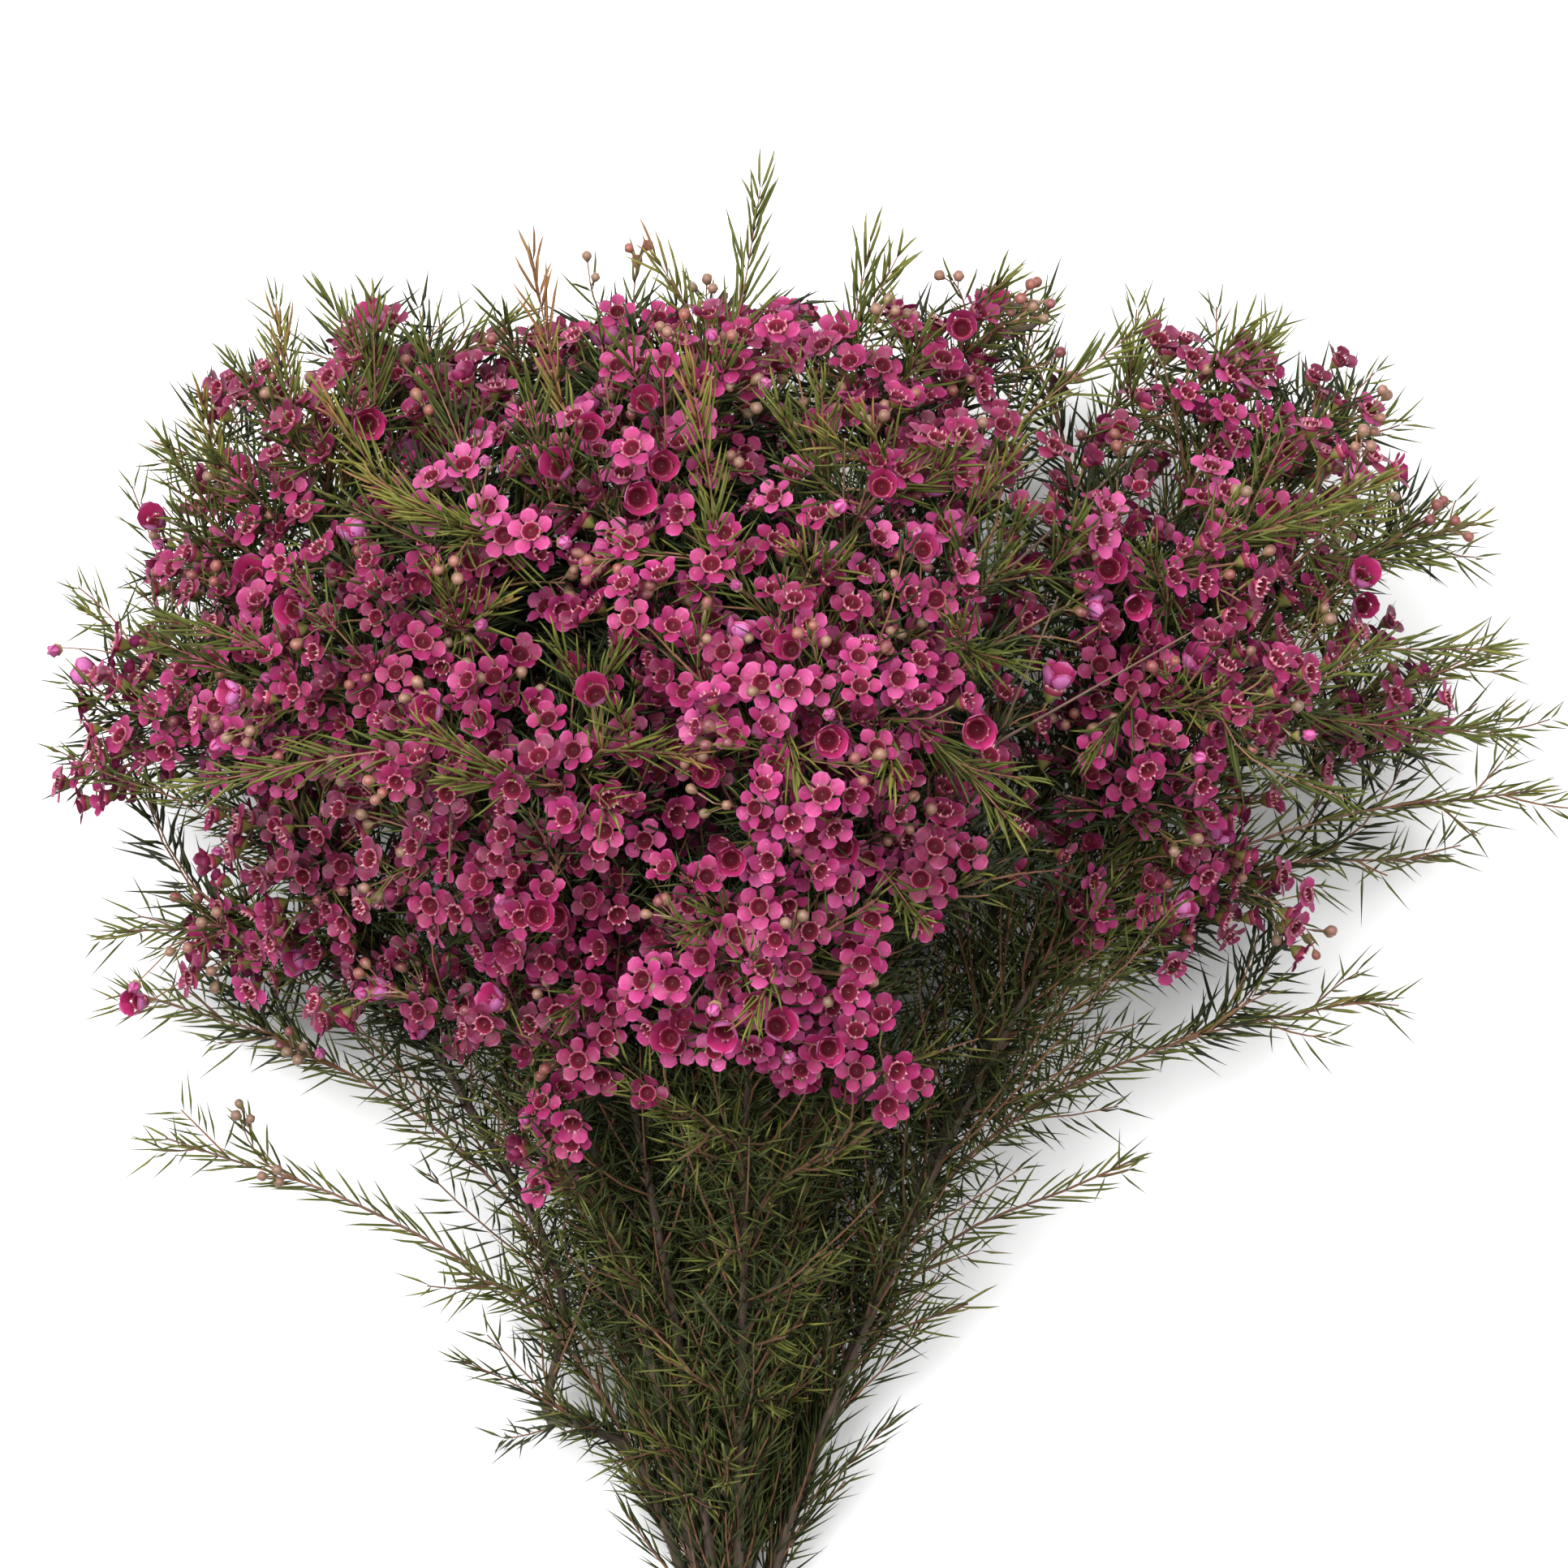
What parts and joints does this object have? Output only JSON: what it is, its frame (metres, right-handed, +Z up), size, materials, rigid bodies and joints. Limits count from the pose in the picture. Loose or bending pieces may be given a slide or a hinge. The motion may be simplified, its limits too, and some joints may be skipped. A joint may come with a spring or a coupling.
{
  "type": "waxflower bunch",
  "caption": "Cut bunch of pink waxflower lying on its side, with woody stems held by an elastic tie, needle leaves and clusters of small open flowers.",
  "frame": {"origin": "on the surface that the bunch lies on, in the middle of the flat spot under its tie", "axes": "+Y from the cut ends to the flowers, +Z up out of the surface, +X to the right when looking down on it"},
  "size_m": [0.5821, 0.6866, 0.2686],
  "materials": {
    "leaf": "satin waxy green needles on red-brown twigs",
    "bark": "matt grey-brown bark",
    "petal": "soft waxy magenta petals",
    "cup": "glossy dark red throat",
    "calyx": "satin olive calyx and stalk",
    "bud": "satin tan-pink bud scales",
    "elastic": "matt natural rubber"
  },
  "bodies": {
    "root": {"flower_head_01": "petal", "flower_head_02": "petal", "flower_head_03": "petal", "flower_head_04": "petal", "flower_head_05": "petal", "flower_head_06": "petal", "flower_head_07": "petal", "flower_head_08": "petal", "flower_head_09": "petal", "flower_head_10": "petal", "flower_head_11": "petal", "flower_head_12": "petal", "flower_head_13": "petal", "flower_head_14": "petal", "flower_head_15": "petal", "flower_head_16": "petal", "flower_head_17": "petal", "flower_head_18": "petal", "flower_head_19": "petal", "flower_head_20": "petal", "flower_head_21": "petal", "flower_head_22": "petal", "flower_head_23": "petal", "flower_head_24": "petal", "flower_head_25": "petal", "flower_head_26": "petal", "flower_head_27": "petal", "flower_head_28": "petal", "flower_head_29": "petal", "flower_head_30": "petal", "flower_head_31": "petal", "flower_head_32": "petal", "flower_head_33": "petal", "flower_head_34": "petal", "flower_head_35": "petal", "flower_head_36": "petal", "flower_head_37": "petal", "flower_head_38": "petal", "flower_head_39": "petal", "flower_head_40": "petal", "flower_head_41": "petal", "flower_head_42": "petal", "flower_head_43": "petal", "stem_01": "leaf", "stem_02": "leaf", "stem_03": "leaf", "stem_04": "leaf", "stem_05": "leaf", "stem_06": "leaf", "stem_07": "leaf", "stem_08": "leaf", "stem_09": "leaf", "stem_10": "leaf", "stem_11": "leaf", "stem_12": "leaf", "stem_13": "leaf", "stem_14": "leaf", "stem_15": "leaf", "stem_16": "leaf", "tie": "elastic"}
  },
  "joints": []
}
